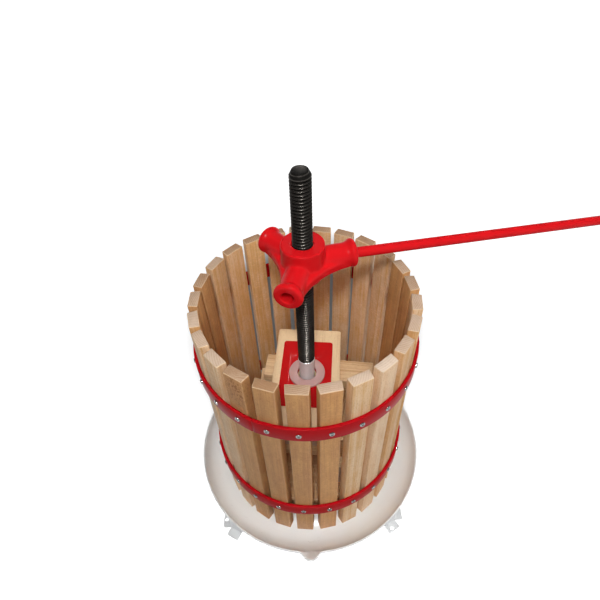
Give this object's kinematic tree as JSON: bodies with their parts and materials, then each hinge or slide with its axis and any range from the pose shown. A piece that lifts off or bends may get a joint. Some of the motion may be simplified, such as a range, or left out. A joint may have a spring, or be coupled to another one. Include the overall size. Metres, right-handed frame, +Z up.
{
  "type": "fruit press",
  "caption": "Upright fruit press with a slatted wooden basket, a dished tray on three legs, a fixed spindle and a three-armed nut that a loose bar turns down onto the pressing blocks.",
  "frame": {"origin": "on the spindle's axis at floor level, the centre of the three foot holes", "axes": "+Z up along the spindle, -Y towards the side of the pouring lip, +X to the right as seen from there"},
  "size_m": [0.5998, 0.368, 0.6594],
  "materials": {
    "beech_stave": "oiled, straight grain",
    "beech_block": "bare, planed",
    "hoop_red": "gloss enamel",
    "casting_red": "gloss enamel over a cast surface",
    "bar_red": "gloss enamel",
    "plate_red": "gloss enamel",
    "tray_white": "smooth powder coat",
    "leg_white": "smooth powder coat",
    "spindle_black": "black oxide, oiled",
    "sleeve_grey": "satin, bright turned rim",
    "bronze": "turned bronze",
    "nylon": "milky, slightly translucent",
    "zinc_screw": "bright zinc plate"
  },
  "bodies": {
    "stand": {"tray": "tray_white", "leg_rear": "leg_white", "leg_right": "leg_white", "leg_left": "leg_white", "carrier": "leg_white", "leg_bolts": "zinc_screw", "spindle": "spindle_black", "spindle_sleeve": "sleeve_grey", "spindle_foot_washer": "zinc_screw", "spindle_foot_nut": "zinc_screw"},
    "basket": {"stave_01": "beech_stave", "stave_02": "beech_stave", "stave_03": "beech_stave", "stave_04": "beech_stave", "stave_05": "beech_stave", "stave_06": "beech_stave", "stave_07": "beech_stave", "stave_08": "beech_stave", "stave_09": "beech_stave", "stave_10": "beech_stave", "stave_11": "beech_stave", "stave_12": "beech_stave", "stave_13": "beech_stave", "stave_14": "beech_stave", "stave_15": "beech_stave", "stave_16": "beech_stave", "stave_17": "beech_stave", "stave_18": "beech_stave", "stave_19": "beech_stave", "stave_20": "beech_stave", "stave_21": "beech_stave", "stave_22": "beech_stave", "stave_23": "beech_stave", "stave_24": "beech_stave", "stave_25": "beech_stave", "upper_hoop": "hoop_red", "lower_hoop": "hoop_red", "upper_hoop_screws": "zinc_screw", "lower_hoop_screws": "zinc_screw"},
    "half_discs": {"disc_front": "beech_block", "disc_rear": "beech_block"},
    "lower_blocks": {"block_lower_left": "beech_block", "block_lower_right": "beech_block"},
    "upper_blocks": {"block_upper_rear": "beech_block", "block_upper_front": "beech_block"},
    "pressing_head": {"press_board": "beech_block", "press_plate": "plate_red", "thrust_washer": "nylon"},
    "thread_nut": {"thread_bush": "bronze"},
    "nut_arms": {"hub_nut": "casting_red"},
    "push_bar": {"push_bar": "bar_red"}
  },
  "joints": [
    {"name": "basket_lift", "type": "slide", "parent": "stand", "child": "basket", "axis": [0, 0, 1], "range_m": [0, 0.018]},
    {"name": "disc_travel", "type": "slide", "parent": "stand", "child": "half_discs", "axis": [0, 0, 1], "range_m": [0, 0.065]},
    {"name": "lower_blocks_lift", "type": "slide", "parent": "half_discs", "child": "lower_blocks", "axis": [0, 0, 1], "range_m": [0, 0.02]},
    {"name": "upper_blocks_lift", "type": "slide", "parent": "lower_blocks", "child": "upper_blocks", "axis": [0, 0, 1], "range_m": [0, 0.02]},
    {"name": "head_lift", "type": "slide", "parent": "upper_blocks", "child": "pressing_head", "axis": [0, 0, 1], "range_m": [0, 0.045]},
    {"name": "nut_travel", "type": "slide", "parent": "stand", "child": "thread_nut", "axis": [0, 0, 1], "range_m": [-0.0202, 0.0802]},
    {"name": "nut_turn", "type": "hinge", "parent": "thread_nut", "child": "nut_arms", "pos_m": [0, 0, 0.546], "axis": [0, 0, 1], "range_deg": [-1800, 7200]},
    {"name": "bar_slide", "type": "slide", "parent": "nut_arms", "child": "push_bar", "axis": [0.975, 0.2108, -0.0698], "range_m": [0, 0.12]}
  ],
  "couplings": [
    {"joint": "nut_travel", "follows": "nut_turn", "m_per_rad": 0.00063662}
  ]
}
